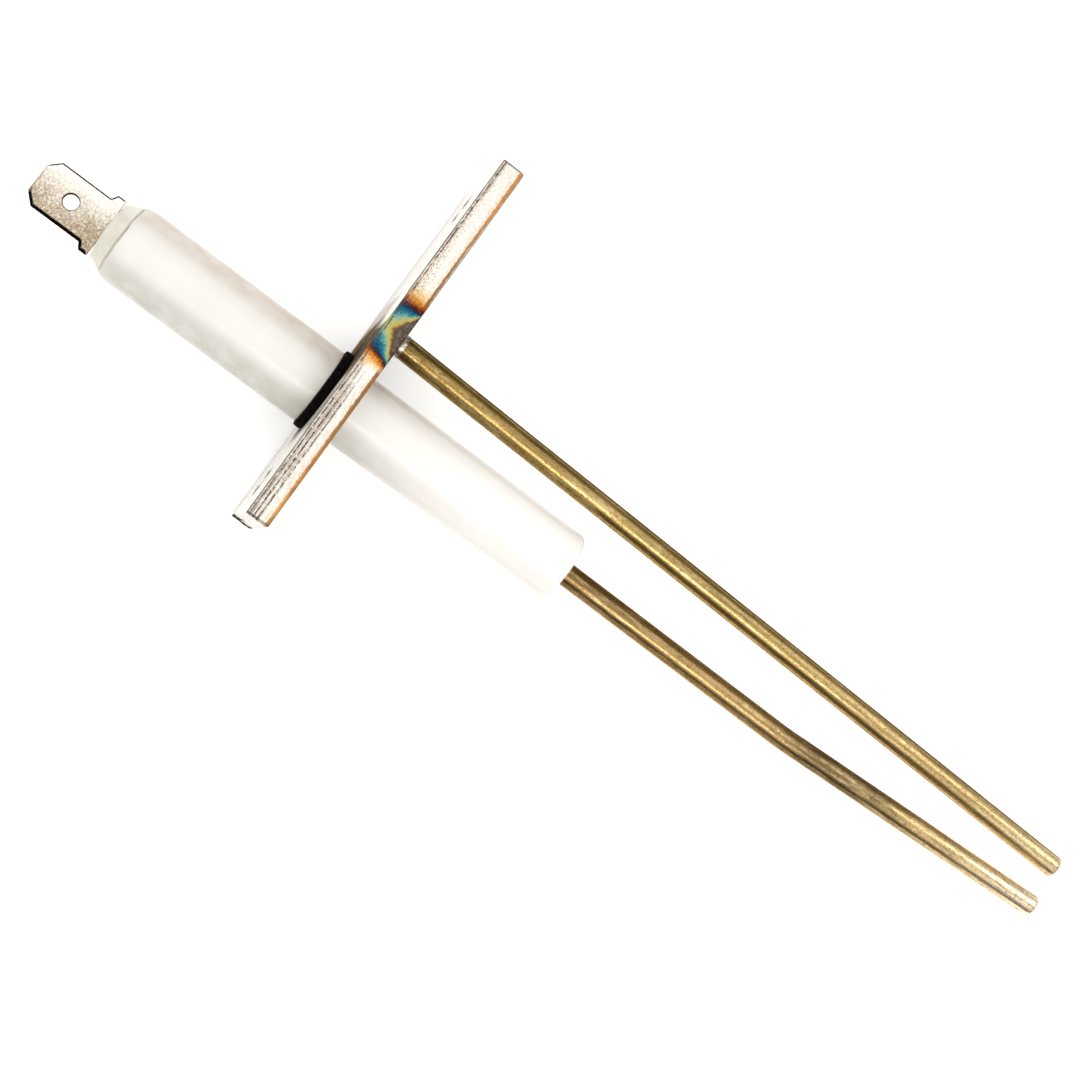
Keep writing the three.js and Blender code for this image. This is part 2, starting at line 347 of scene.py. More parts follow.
def plate_steel():
    tree = new_material("plate_steel")
    x, y, z = tree.axes()
    tint, at = heat_tint(tree)
    is_clear = tree.remap(at, 0.72, 0.86)
    # Noises: the torn metal's grain, a fine one and a coarse one. Then the long edges, and the plate's low end.
    torn = tree.noise((4600, 420, 4600), 4, 0.6)
    speckle = tree.noise(5200, 3, 0.6)
    coarse = tree.noise(1900, 2)
    on_edge = tree.remap(tree.maths("ABSOLUTE", z), plate_high.z - 0.4 * MM, plate_high.z - 0.2 * MM)
    low_end = tree.falling(y, -2 * MM, 5 * MM)

    # Stipple over the whole plate, denser where the punch tore the metal.
    torn_from = tree.remap(y, -2 * MM, 5 * MM, -1.35 * MM, -2.3 * MM)
    in_torn = tree.remap(tree.minus(torn_from, x), -0.1 * MM, 0.25 * MM)
    in_torn = tree.product(in_torn, on_edge)
    on_rear = tree.falling(x, plate_low.x + 0.02 * MM, plate_low.x + 0.05 * MM)
    # The face towards the terminal takes the lighter steel, as painted light.
    tree.colour = tree.mix(on_rear, tint, REAR_FACE_LIGHTENED_STEEL)
    tree.paint((0.34, 0.27, 0.19), tree.remap(speckle, 0.47, 0.62), tree.scaled(in_torn, 0.42, 0.42),
               tree.scaled(is_clear, 0.95, 0.05))
    # Above the weld the corner towards the terminal is stippled tan.
    tan_x = tree.remap(y, 13 * MM, 30 * MM, -1.3 * MM, -2.3 * MM)
    tan_in = tree.remap(tree.minus(tan_x, x), -0.3 * MM, 0.6 * MM)
    tree.paint((0.30, 0.21, 0.12), tree.remap(speckle, 0.44, 0.58, 0.0, 0.75), tan_in, on_edge,
               tree.remap(y, 12 * MM, 14 * MM))
    tree.paint((0.26, 0.21, 0.17), tree.remap(torn, 0.42, 0.58, 0.12, 0.85), in_torn,
               tree.scaled(is_clear, 0.9, 0.1))

    grime_noise = tree.noise((3600, 900, 3600), 3, 0.6)
    tree.paint((0.36, 0.34, 0.30), tree.remap(grime_noise, 0.40, 0.62, 0.0, 0.45), low_end, on_edge)

    # Jagged dark lines along the long edges.
    jag = tree.swing(speckle, 0.08 * MM)
    dashes = tree.remap(tree.noise((300, 1900, 300), 2), 0.34, 0.50)
    for line_x, strength, is_by_low_end in DARK_EDGE_LINES:
        line = tree.band(tree.plus(x, jag), line_x, 0.05 * MM, 0.08 * MM)
        tree.paint(DARK_EDGE_LINE_COLOUR, line, dashes, on_edge, strength, low_end if is_by_low_end else 1.0)
    # A dark line along the corner with the face towards the terminal: painted shade where the edge turns away.
    corner = tree.remap(x, plate_low.x + 0.06 * MM, plate_low.x + 0.14 * MM, 0.9, 0.0)
    tree.paint((0.06, 0.05, 0.04), corner, on_edge)

    # Oxide line by the burner-side corner, wider and browner beside the weld.
    line_middle = tree.remap(y, 3 * MM, 16 * MM, -0.18 * MM, -0.36 * MM)
    line_half = tree.remap(y, 3 * MM, 16 * MM, 0.22 * MM, 0.07 * MM)
    line_half = tree.plus(line_half, tree.remap(y, 25 * MM, 31 * MM, 0.0, 0.10 * MM))
    wobble = tree.swing(coarse, 0.06 * MM)
    line = tree.band(tree.plus(x, wobble), line_middle, line_half, 0.16 * MM)
    from_weld = tree.off(y, HEAT_CENTRE_Y)
    beside = tree.band(tree.plus(x, wobble), line_middle, 0.1 * MM, 0.75 * MM)
    beside = tree.product(beside, on_edge, tree.remap(from_weld, 4.2 * MM, 6 * MM),
                          tree.remap(speckle, 0.35, 0.62, 0.15, 0.75))
    tree.paint((0.50, 0.35, 0.19), beside)
    line_colour = tree.ramp(tree.remap(from_weld, 3 * MM, 26 * MM), [
        (0.0, (0.14, 0.045, 0.004)),
        (0.30, (0.19, 0.085, 0.012)),
        (0.65, (0.46, 0.18, 0.032)),
        (1.0, (0.60, 0.27, 0.065)),
    ])
    along = tree.noise((300, 420, 300), 3, 0.6)
    line_colour = tree.mix(tree.remap(along, 0.44, 0.60, 0.0, 0.7), line_colour, (0.27, 0.095, 0.012))
    on_rollover = tree.remap(x, -0.34 * MM, -0.06 * MM, 0.0, 0.8)
    line_colour = tree.mix(on_rollover, line_colour, (0.20, 0.085, 0.015))
    near_weld = tree.remap(from_weld, 4.2 * MM, 5 * MM, 0.0, 0.9)
    oxide = tree.product(line, on_edge, near_weld)
    tree.paint(line_colour, oxide)

    # On the face towards the terminal: a brown stain and a painted reflection, a cream bar that a polished face
    # would show, behind the weld; sooty darkening with painted shadow around the washer; and a duller line along the
    # low edge.
    rag = tree.swing(coarse, 0.45 * MM)
    drift = tree.swing(tree.noise(330, 3, 0.6), 1.0 * MM)
    ragged_y = tree.plus(tree.plus(y, rag), drift)
    is_high = tree.remap(tree.plus(z, rag), 1 * MM, 7 * MM)
    is_low = tree.minus(1.0, is_high)
    patch_y = tree.maths("DIVIDE", tree.minus(ragged_y, STAIN_MIDDLE_Y), STAIN_HALF_WIDTH)
    patch_z = tree.maths("DIVIDE", z, STAIN_HALF_HEIGHT)
    from_patch = tree.hypot(patch_y, patch_z)
    stain = tree.product(tree.falling(from_patch, 0.70, 1.10), on_rear)
    stain_colour = tree.ramp(from_patch, [
        (0.50, (0.15, 0.115, 0.080)),
        (0.80, (0.20, 0.125, 0.065)),
        (0.90, (0.38, 0.25, 0.12)),
        (1.00, (0.66, 0.55, 0.40)),
    ])
    stain_colour = tree.mix(tree.remap(coarse, 0.40, 0.62, 0.0, 0.75), stain_colour, (0.070, 0.052, 0.035))
    below_reflection = tree.product(tree.band(ragged_y, 11.2 * MM, 2.4 * MM, 1.5 * MM), on_rear, is_low, 0.3)
    from_axis = tree.hypot(y, z)
    # Sooty darkening around the washer, deepened as painted shadow.
    soot_and_shadow = tree.product(tree.falling(from_axis, SOOT_SHADOW_FROM_RADIUS, SOOT_SHADOW_TO_RADIUS), on_rear,
                        tree.remap(coarse, 0.3, 0.6, 1.0, 0.75))
    margin = tree.product(tree.remap(z, -10.3 * MM, -10.7 * MM, 0.0, 0.5), on_rear)
    painted_reflection = tree.product(tree.band(ragged_y, REFLECTION_MIDDLE_Y, 1.5 * MM, 1.1 * MM), on_rear, is_high)
    # A torn burr at the bottom of the low end face, painted near-black together with its painted contact shadow.
    on_low_end = tree.falling(y, plate_low.y + 0.16 * MM, plate_low.y + 0.24 * MM)
    tear_noise = tree.noise((3600, 900, 420), 4, 0.65)
    burr_edge = tree.scaled(x, 1.33, tree.plus(z, tree.swing(tear_noise, 2.2 * MM, 0.15)))
    burr = tree.falling(burr_edge, -9.2 * MM, -8.2 * MM)
    tear_x = tree.plus(x, tree.swing(tear_noise, 0.35 * MM, 0.15))
    for tear_place, tear_top in TEARS:
        tear = tree.product(tree.band(tear_x, tear_place, 0.12 * MM, 0.22 * MM),
                            tree.remap(z, tear_top, tear_top - 2 * MM))
        burr = tree.maths("MAXIMUM", burr, tear)
    burr = tree.product(burr, on_low_end)
    # The marks that hide the metal make it dull and non-metallic.
    dulled = tree.product(oxide, 0.75)
    for mask, mask_colour in (
        (stain, stain_colour),
        (below_reflection, (0.16, 0.12, 0.08)),
        (soot_and_shadow, (0.030, 0.022, 0.014)),
        (margin, (0.20, 0.18, 0.16)),
        (burr, (0.036, 0.030, 0.024)),
    ):
        tree.paint(mask_colour, mask)
        dulled = tree.maths("MAXIMUM", mask, dulled)
    # Painted reflection: the cream bar stands in for light mirrored by the polished face.
    tree.paint((0.95, 0.88, 0.76), painted_reflection)
    # Dark lines across the long edges by the plate's ends: painted shade where the corners turn away.
    for end_y in (plate_low.y + 0.3 * MM, plate_high.y - 0.1 * MM):
        end_line = tree.band(y, end_y, 0.04 * MM, 0.06 * MM)
        tree.paint((0.05, 0.04, 0.03), end_line, on_edge, 0.85)
    dulled = tree.maths("MINIMUM", tree.product(dulled, 1.4), 1.0)
    metallic = tree.minus(1.0, dulled)
    roughness = tree.scaled(dulled, 0.6, tree.remap(speckle, 0.3, 0.7, 0.26, 0.44))
    tree.bump(torn, 0.016 * MM, 0.6)
    tree.bump(speckle, 0.020 * MM, 0.7)
    return tree.finish(Metallic=metallic, Roughness=roughness, Specular_IOR_Level=0.0)


# -------- rod wire

def rod_wire(name, length_colours, from_x, to_x):
    """Drawn wire: fine lines along it, and an oxide whose colour changes along its length; the spark rod's colours
    also hold a stretch of painted shade past its bend.
    """
    tree = new_material(name)
    x = tree.axes()[0]
    lines = tree.noise((70, 5200, 5200), 3, 0.6)
    patches = tree.noise((260, 1100, 1100), 3, 0.6, 0.4)
    spots = tree.noise((2200, 3600, 3600), 3, 0.6)
    shifted = tree.scaled(tree.minus(patches, 0.5), 18 * MM, x)
    tree.colour = tree.ramp(tree.remap(shifted, from_x, to_x), length_colours)
    tree.paint((0.78, 0.58, 0.30), tree.remap(patches, 0.50, 0.68, 0.0, 0.45))
    tree.paint((0.13, 0.075, 0.02), tree.remap(lines, 0.46, 0.68, 0.0, 0.55))
    tree.paint((0.10, 0.058, 0.02), tree.remap(spots, 0.50, 0.66, 0.0, 0.6))
    roughness = tree.remap(spots, 0.3, 0.7, 0.24, 0.36)
    tree.bump(lines, 0.003 * MM, 0.3)
    return tree.finish(Metallic=1.0, Roughness=roughness, Specular_Tint=(0.88, 0.72, 0.52), Coat_Weight=0.1,
                       Coat_Roughness=0.2)


# -------- ceramic, washer, cement, weld, terminal, floor

CHAMFER_END_X = insulator_low.x + REAR_CHAMFER_LENGTH


def insulator_ceramic():
    tree = new_material("insulator_ceramic")
    x, y = tree.axes()[:2]
    cloud = tree.noise(130)
    patches = tree.noise(420)
    grain = tree.noise(3800)
    tree.colour = tree.mix(tree.remap(cloud, 0.35, 0.7, 0.0, 0.6), (0.645, 0.632, 0.612), (0.605, 0.590, 0.558))
    tree.paint((0.75, 0.74, 0.715), tree.remap(x, 0.0, 20 * MM))
    # Faint painted shade along both flanks of the rear part: pinkish-beige on the +Y side, grey-green on the -Y
    # side.
    behind = tree.remap(x, -1 * MM, 12 * MM, 1.0, 0.15)
    tree.paint((0.49, 0.405, 0.325), tree.remap(y, 1.8 * MM, 4.0 * MM, 0.0, 0.95), behind,
               tree.remap(patches, 0.35, 0.6, 0.5, 1.0))
    tree.paint((0.42, 0.415, 0.365), tree.remap(y, -2.4 * MM, -4.7 * MM), behind,
               tree.remap(patches, 0.4, 0.65, 1.0, 0.5))
    specks = tree.node("TexVoronoi", {"Vector": tree.place, "Scale": 150.0, "Randomness": 1.0})
    speck = tree.remap(specks.outputs["Distance"], 0.020, 0.032, 0.75, 0.0)
    is_chosen = tree.maths("GREATER_THAN", tree.node("SeparateColor", {0: specks.outputs["Color"]}).outputs[0], 0.72)
    tree.paint((0.16, 0.14, 0.11), speck, is_chosen)
    # Painted shade on the rear chamfer, grey-green, ending in a brown line of painted shade at its rim.
    on_chamfer = tree.remap(x, CHAMFER_END_X, CHAMFER_END_X + 0.1 * MM, 0.85, 0.0)
    chamfer_shade = tree.mix(tree.remap(patches, 0.4, 0.62, 0.0, 0.7), (0.60, 0.61, 0.53), (0.52, 0.47, 0.39))
    tree.paint(chamfer_shade, on_chamfer)
    rim = tree.band(tree.plus(x, tree.swing(patches, 0.08 * MM)), CHAMFER_END_X, 0.05 * MM, 0.16 * MM)
    tree.paint((0.21, 0.16, 0.12), rim, tree.remap(patches, 0.35, 0.6, 0.9, 0.45))
    # Painted shade where the insulator meets the washer and the plate, heavier on the -Y side.
    at_washer = tree.remap(tree.off(x, washer_low.x), 0.0, 2.6 * MM, 0.55, 0.0)
    tree.paint((0.36, 0.33, 0.25), at_washer, tree.remap(patches, 0.3, 0.65, 0.5, 1.0),
               tree.remap(y, -4 * MM, 2 * MM, 1.4, 0.7))
    roughness = tree.remap(grain, 0.3, 0.7, 0.30, 0.42)
    tree.bump(cloud, 0.08 * MM, 0.35)
    tree.bump(grain, 0.004 * MM, 0.4)
    return tree.finish(Roughness=roughness, Subsurface_Weight=0.15, Subsurface_Radius=(0.002, 0.0015, 0.001),
                       Coat_Weight=0.25, Coat_Roughness=0.25)


def washer_black():
    tree = new_material("washer_black")
    fibres = tree.noise((5200, 1500, 1500), 4, 0.65)
    tree.colour = tree.mix(tree.remap(fibres, 0.45, 0.75), (0.002, 0.002, 0.0015), (0.012, 0.011, 0.008))
    tree.bump(fibres, 0.06 * MM, 0.8)
    return tree.finish(Roughness=0.85, Specular_IOR_Level=0.03)


def cement():
    tree = new_material("cement")
    lumps = tree.noise(900, 5, 0.65)
    grain = tree.noise(6000)
    tree.colour = tree.mix(tree.remap(lumps, 0.35, 0.7), (0.72, 0.73, 0.66), (0.55, 0.55, 0.48))
    tree.bump(lumps, 0.12 * MM, 0.7)
    tree.bump(grain, 0.03 * MM, 0.6)
    return tree.finish(Roughness=0.88)


def weld_metal():
    tree = new_material("weld_metal")
    cloud = tree.noise(1600)
    tree.colour = tree.ramp(cloud, [
        (0.30, (0.10, 0.075, 0.05)),
        (0.46, (0.26, 0.20, 0.14)),
        (0.58, (0.62, 0.57, 0.50)),
        (0.72, (0.16, 0.16, 0.19)),
    ])
    roughness = tree.remap(cloud, 0.3, 0.7, 0.5, 0.2)
    tree.bump(cloud, 0.05 * MM, 0.5)
    return tree.finish(Metallic=1.0, Roughness=roughness)


# The blade's length to its stops, and the length of the stops.
BLADE_LENGTH = 7.9 * MM
STOP_LENGTH = 1.6 * MM
STOP_END_X = tab_low.x + BLADE_LENGTH + STOP_LENGTH
BLADE_HOLE_RADIUS = 0.95 * MM
HOLE_X = tab_low.x + 4.6 * MM


def terminal_metal():
    """Plated strip with a fine stipple, its hollows in painted shade and its peaks in painted glints; bright on one
    side and darker towards the other and the insulator, by tarnishing and painted shade.
    """
    tree = new_material("terminal_metal")
    x, y, z = tree.axes()
    stipple = tree.noise((5600, 3300, 4400), 3, 0.6, 0.5)
    cloud = tree.noise(500, 2)
    pebbles = tree.node("TexVoronoi", {"Vector": tree.place, "Scale": 3400.0}, feature="SMOOTH_F1")
    pebble = pebbles.outputs["Distance"]
    # Darker towards -Y and towards the insulator: tarnishing, with painted shade on the side away from the light.
    shifted = tree.scaled(tree.minus(cloud, 0.5), 2.5 * MM, y)
    tarnish_and_shade = tree.remap(shifted, 2.4 * MM, -1.8 * MM, 0.0, 0.85)
    to_insulator = tree.remap(x, tab_low.x + 5 * MM, tab_low.x + 9.5 * MM, 0.0, 0.4)
    tarnish_and_shade = tree.plus(tarnish_and_shade, tree.product(to_insulator, tree.remap(shifted, 2 * MM, -1.5 * MM, 0.2, 1.0)))
    tree.colour = tree.mix(tarnish_and_shade, (0.66, 0.635, 0.585), (0.30, 0.245, 0.175))
    # Painted shade in the stipple's hollows, deeper where the blade is darker.
    tree.paint((0.22, 0.165, 0.105), tree.remap(stipple, 0.54, 0.42, 0.0, 0.85), tree.scaled(tarnish_and_shade, 0.75, 0.32))
    # Painted glints on the stipple's peaks.
    painted_glint = tree.remap(stipple, 0.54, 0.66, 0.0, 0.6)
    tree.paint((0.72, 0.67, 0.59), painted_glint)
    # A fine dark line around the latching hole: painted shade at its edge.
    from_hole_x = tree.minus(x, HOLE_X)
    from_hole = tree.hypot(from_hole_x, y)
    hole_line = tree.band(from_hole, BLADE_HOLE_RADIUS + 0.08 * MM, 0.03 * MM, 0.05 * MM)
    tree.paint((0.10, 0.085, 0.06), hole_line, 0.7)
    # The cut edges are painted dark and dull as painted shade on their bevels, except across the tip.
    from_face = tree.minus(tab_high.z, tree.maths("ABSOLUTE", z))
    chatter = tree.swing(stipple, 0.035 * MM, 0.15)
    cut_edge = tree.remap(tree.plus(from_face, chatter), 0.03 * MM, 0.05 * MM)
    past_tip = tree.remap(x, tab_low.x + 0.22 * MM, tab_low.x + 0.3 * MM)
    before_end = tree.remap(x, STOP_END_X - 0.2 * MM, STOP_END_X - 0.1 * MM, 1.0, 0.1)
    shaded_edge = tree.product(cut_edge, past_tip, before_end)
    tree.paint((0.003, 0.0025, 0.002), shaded_edge)
    metallic = tree.falling(shaded_edge, 0.0, 0.8)
    roughness = tree.remap(stipple, 0.3, 0.7, 0.42, 0.26)
    tree.bump(stipple, 0.06 * MM, 0.7)
    tree.bump(pebble, 0.02 * MM, 0.4)
    return tree.finish(Metallic=metallic, Roughness=roughness, Specular_IOR_Level=0.0)


FLOOR_GLOW = 0.24


def floor_material():
    """A white acrylic light table: its faint glow keeps the shadows pale."""
    tree = new_material("floor")
    cloud = tree.noise(4, 2)
    tree.colour = tree.mix(cloud, (0.92, 0.93, 0.94), (0.91, 0.92, 0.93))
    return tree.finish(Roughness=0.9, Specular_IOR_Level=0.0, Emission_Color=tree.colour,
                       Emission_Strength=FLOOR_GLOW)


def card_material(name, dark, light):
    """The matt face of a studio card."""
    tree = new_material(name)
    weave = tree.noise(900, 2)
    tree.colour = tree.mix(weave, dark, light)
    return tree.finish(Roughness=1.0, Specular_IOR_Level=0.0)


EARTH_ROD_COLOURS = [
    (0.00, (0.12, 0.080, 0.025)),
    (0.06, (0.26, 0.180, 0.050)),
    (0.20, (0.35, 0.242, 0.085)),
    (0.55, (0.40, 0.285, 0.110)),
    (0.85, (0.48, 0.355, 0.165)),
    (1.00, (0.76, 0.600, 0.360)),
]
# The dark stops at 0.51 and 0.63, just past the bend, are painted shade; the other stops are the oxide's colour
# along the rod.
SPARK_ROD_COLOURS = [
    (0.00, (0.22, 0.140, 0.055)),
    (0.30, (0.42, 0.280, 0.120)),
    (0.44, (0.38, 0.260, 0.115)),
    (0.51, (0.17, 0.125, 0.062)),
    (0.63, (0.23, 0.170, 0.085)),
    (0.74, (0.47, 0.350, 0.165)),
    (0.86, (0.72, 0.560, 0.330)),
    (1.00, (0.95, 0.820, 0.620)),
]

MATERIALS = {
    "plate_steel": plate_steel(),
    "insulator_ceramic": insulator_ceramic(),
    "washer_black": washer_black(),
    "cement": cement(),
    "weld_metal": weld_metal(),
    "terminal_metal": terminal_metal(),
    "floor": floor_material(),
    "dark_card": card_material("dark_card", (0.065, 0.055, 0.045), (0.090, 0.078, 0.065)),
    "brown_card": card_material("brown_card", (0.17, 0.145, 0.115), (0.21, 0.18, 0.145)),
    "grey_card": card_material("grey_card", (0.42, 0.39, 0.34), (0.48, 0.45, 0.40)),
    "earth_rod": rod_wire("earth_rod_wire", EARTH_ROD_COLOURS, 0.0, earth_high.x),
    "spark_rod": rod_wire("spark_rod_wire", SPARK_ROD_COLOURS, insulator_high.x, spark_high.x),
}


# -------- mesh tools

SHARP_ANGLE = math.radians(35)
CORNER_STEP = math.radians(15)


def add_object(name, mesh, material):
    mesh.materials.append(MATERIALS[material])
    added = bpy.data.objects.new(name, mesh)
    bpy.context.scene.collection.objects.link(added)
    return added


def add_piece(name, bm, material, cad_node):
    """Turns the bmesh into a smooth-shaded object that stands for the CAD node."""
    bmesh.ops.recalc_face_normals(bm, faces=bm.faces)
    for face in bm.faces:
        face.smooth = True
    for edge in bm.edges:
        if len(edge.link_faces) == 2 and edge.calc_face_angle(0) > SHARP_ANGLE:
            edge.smooth = False
    mesh = bpy.data.meshes.new(name)
    bm.to_mesh(mesh)
    bm.free()
    piece = add_object(name, mesh, material)
    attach(piece, "root")
    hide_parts(cad_node)


def wavy(x, y, z, size, seed=0.0):
    """Smooth noise between -1 and 1 whose features are about `size` across."""
    return noise.noise(Vector((x / size + seed, y / size + 2 * seed, z / size - seed)))


def bridge(bm, ring_a, ring_b):
    count = len(ring_a)
    for i in range(count):
        j = (i + 1) % count
        bm.faces.new((ring_a[i], ring_a[j], ring_b[j], ring_b[i]))


def revolve(profile, sides, shape, closed):
    """A solid turned about X from (x, radius) points. `shape` moves each point: it takes x, radius and angle and
    gives x and radius. A closed profile makes a ring; an open one is capped with a fan at both ends."""
    bm = bmesh.new()
    rings = []
    for x, radius in profile:
        ring = []
        for i in range(sides):
            angle = 2 * math.pi * i / sides
            moved_x, moved_radius = shape(x, radius, angle)
            ring.append(bm.verts.new((moved_x, moved_radius * math.cos(angle), moved_radius * math.sin(angle))))
        rings.append(ring)
    for ring_a, ring_b in zip(rings, rings[1:]):
        bridge(bm, ring_a, ring_b)
    if closed:
        bridge(bm, rings[-1], rings[0])
    else:
        for ring in (rings[0], rings[-1]):
            middle = bm.verts.new(sum((v.co for v in ring), Vector()) / sides)
            for i in range(sides):
                bm.faces.new((ring[i], ring[(i + 1) % sides], middle))
    return bm


def arc(centre, radii, from_degrees, to_degrees, steps):
    """Points of an ellipse's arc in the (x, radius) plane."""
    points = []
    for step in range(steps + 1):
        angle = math.radians(from_degrees + (to_degrees - from_degrees) * step / steps)
        points.append((centre[0] + radii[0] * math.cos(angle), centre[1] + radii[1] * math.sin(angle)))
    return points


def between(a, b, steps):
    """Points along a straight stretch, without its ends."""
    return [tuple(p + (q - p) * step / steps for p, q in zip(a, b)) for step in range(1, steps)]


# -------- sheet-metal outlines

LEAST_HOLE_SIDES = 24


def rounded_outline(corners, radius, spacing):
    """An evenly divided closed outline of (u, v, outward u, outward v), with its corners rounded."""
    corners = [Vector(corner) for corner in corners]
    ways = [(corner - before).normalized() for before, corner in zip(corners[-1:] + corners, corners)]
    turns = [into.angle_signed(out) for into, out in zip(ways, ways[1:] + ways[:1])]
    cuts = [abs(radius * math.tan(turn / 2)) for turn in turns]
    normals = [Vector((way.y, -way.x)) for way in ways]
    points = []
    for i, turn in enumerate(turns):
        j = (i + 1) % len(corners)
        start = corners[i] - ways[i] * cuts[i]
        end = corners[i] + ways[j] * cuts[i]
        next_start = corners[j] - ways[j] * cuts[j]
        bulge = radius if turn < 0 else -radius
        centre = start - normals[i] * bulge
        steps = max(2, int(abs(turn) / CORNER_STEP))
        for step in range(steps + 1):
            normal = normals[i].lerp(normals[j], step / steps).normalized()
            points.append((*(centre + normal * bulge), *normal))
        parts = max(1, round((next_start - end).length / spacing))
        points += [(*end.lerp(next_start, part / parts), *normals[j]) for part in range(1, parts)]
    return points


def round_outline(centre, radius, spacing):
    """A hole's outline. Its normals point to the hole's middle, away from the metal."""
    count = max(LEAST_HOLE_SIDES, round(2 * math.pi * radius / spacing))
    angles = [-2 * math.pi * i / count for i in range(count)]
    ways = [(math.cos(angle), math.sin(angle)) for angle in angles]
    return [(centre[0] + radius * u, centre[1] + radius * v, -u, -v) for u, v in ways]


def sheet(outlines, depths, inset, to_place):
    """A flat solid with walls that follow the outlines. `inset(depth, u, v)` says how far the wall stands back
    from the outline at that depth, and `to_place(u, v, depth)` gives the point in the frame."""
    bm = bmesh.new()
    end_edges = {0: [], len(depths) - 1: []}
    for outline in outlines:
        rings = []
        for depth in depths:
            ring = []
            for u, v, normal_u, normal_v in outline:
                back = inset(depth, u, v)
                ring.append(bm.verts.new(to_place(u - normal_u * back, v - normal_v * back, depth)))
            rings.append(ring)
        for ring_a, ring_b in zip(rings, rings[1:]):
            bridge(bm, ring_a, ring_b)
        for level in end_edges:
            ring = rings[level]
            for a, b in zip(ring, ring[1:] + ring[:1]):
                end_edges[level].append(bm.edges.get((a, b)))
    for edges in end_edges.values():
        bmesh.ops.triangle_fill(bm, use_beauty=True, use_dissolve=False, edges=edges)
    return bm


# -------- mounting plate

ROLLOVER_DEPTH = 0.5 * MM
ROLLOVER_INSET = 0.30 * MM
BURR_DEPTH = 0.12 * MM
PLATE_CORNER_RADIUS = 0.35 * MM
PLATE_SPACING = 0.16 * MM
WALL_STEPS = 24
# Where the torn band starts, in mm from the burner-side face: at the high end, and how much sooner at the low end.
# It changes over a stretch of the plate that ends at TORN_CHANGE_TO_Y.
TORN_FROM_MM = 2.45
TORN_SOONER_MM = 0.95
TORN_CHANGE_TO_Y = 14 * MM
TORN_CHANGE_LENGTH = 24 * MM
TORN_GROOVE_DEPTH = 0.05 * MM
# Each groove's mean distance from the start of the torn band in mm; the place, size and seed of the noise that it
# wanders by; and its half width.
TORN_GROOVES = (
    (0.42, 3 * MM, 1.1 * MM, 2.0, 0.07 * MM),
    (0.85, 5 * MM, 1.3 * MM, 6.0, 0.08 * MM),
)


def shear_wall(depth, u, v):
    """The wall that a punch leaves, from the burner-side face down: a rounded rollover, a smooth sheared band,
    then a torn band with grooves, and a small burr. The torn band is wider towards the plate's low end."""
    if depth < ROLLOVER_DEPTH:
        share = 1 - depth / ROLLOVER_DEPTH
        return ROLLOVER_INSET * (1 - math.sqrt(max(0.0, 1 - share * share)))
    torn_share = min(1.0, max(0.0, (TORN_CHANGE_TO_Y - u) / TORN_CHANGE_LENGTH))
    torn_from = (TORN_FROM_MM - TORN_SOONER_MM * torn_share) * MM
    torn_from += 0.10 * MM * wavy(u, v, 0, 0.8 * MM) + 0.10 * MM * wavy(u, v, 0, 0.22 * MM, 4.0)
    if depth < torn_from:
        return 0.004 * MM * wavy(u, v, depth, 0.5 * MM, 9.0)
    into = (depth - torn_from) / (PLATE_THICKNESS - torn_from)
    back = 0.05 * MM * math.sqrt(into)
    back += 0.035 * MM * math.exp(-((depth - torn_from) / (0.09 * MM)) ** 2)
    for mean_mm, noise_at, size, seed, half_width in TORN_GROOVES:
        groove = torn_from + (mean_mm + 0.1 * wavy(u, v, noise_at, size, seed)) * MM
        back += TORN_GROOVE_DEPTH * torn_share * math.exp(-((depth - groove) / half_width) ** 2)
    back += 0.018 * MM * wavy(u, v, depth * 0.35, 0.18 * MM, 7.0)
    from_rear = PLATE_THICKNESS - depth
    if from_rear < BURR_DEPTH:
        back += 0.05 * MM * (1 - from_rear / BURR_DEPTH) ** 2
    return max(0.0, back)


def mounting_plate():
    low, high = plate_low, plate_high
    corners = [(low.y, low.z), (high.y, low.z), (high.y, high.z), (low.y, high.z)]
    outlines = [rounded_outline(corners, PLATE_CORNER_RADIUS, PLATE_SPACING)]
    outlines.append(round_outline((0, 0), PLATE_HOLE_RADIUS, PLATE_SPACING * 2))
    for y in (low.y + FIXING_HOLE_TO_END, high.y - FIXING_HOLE_TO_END):
        outlines.append(round_outline((y, 0), FIXING_HOLE_RADIUS, PLATE_SPACING * 1.5))
    rollover_depths = [ROLLOVER_DEPTH * (1 - math.cos(math.radians(angle))) for angle in range(0, 90, 15)]
    wall_depths = [
        ROLLOVER_DEPTH + (PLATE_THICKNESS - ROLLOVER_DEPTH) * step / WALL_STEPS
        for step in range(WALL_STEPS + 1)
    ]
    return sheet(outlines, rollover_depths + wall_depths, shear_wall, lambda u, v, depth: (-depth, u, v))


add_piece("plate", mounting_plate(), "plate_steel", "mounting_plate")


# -------- insulator, washer and cement

INSULATOR_SIDES = 144
WASHER_SIDES = 120
PLUG_SIDES = 72
REAR_FACE_RADIUS = 3.7 * MM
REAR_RIM_ROUNDING = 0.12 * MM
REAR_ROUNDING = 2 * MM
SHOULDER_ROUNDING = 0.2 * MM
WASHER_ROUNDING = 0.22 * MM
PLUG_RISE = 0.15 * MM
PLUG_RINGS = 9
FRONT_ROUNDING = 0.6 * MM
POCKET_RADIUS = rear_cement_high.z
FRONT_POCKET_RADIUS = front_cement_high.z
BORE_RADIUS = 2 * MM


def ceramic_shape(x, radius, angle):
    """A fired ceramic is never quite round or straight."""
    y, z = math.cos(angle), math.sin(angle)
    uneven = 0.035 * MM * wavy(x, y * 5 * MM, z * 5 * MM, 9 * MM)
    uneven += 0.012 * MM * wavy(x, y * 5 * MM, z * 5 * MM, 2.2 * MM, 3.0)
    return x, radius + uneven * min(1.0, radius / INSULATOR_RADIUS)


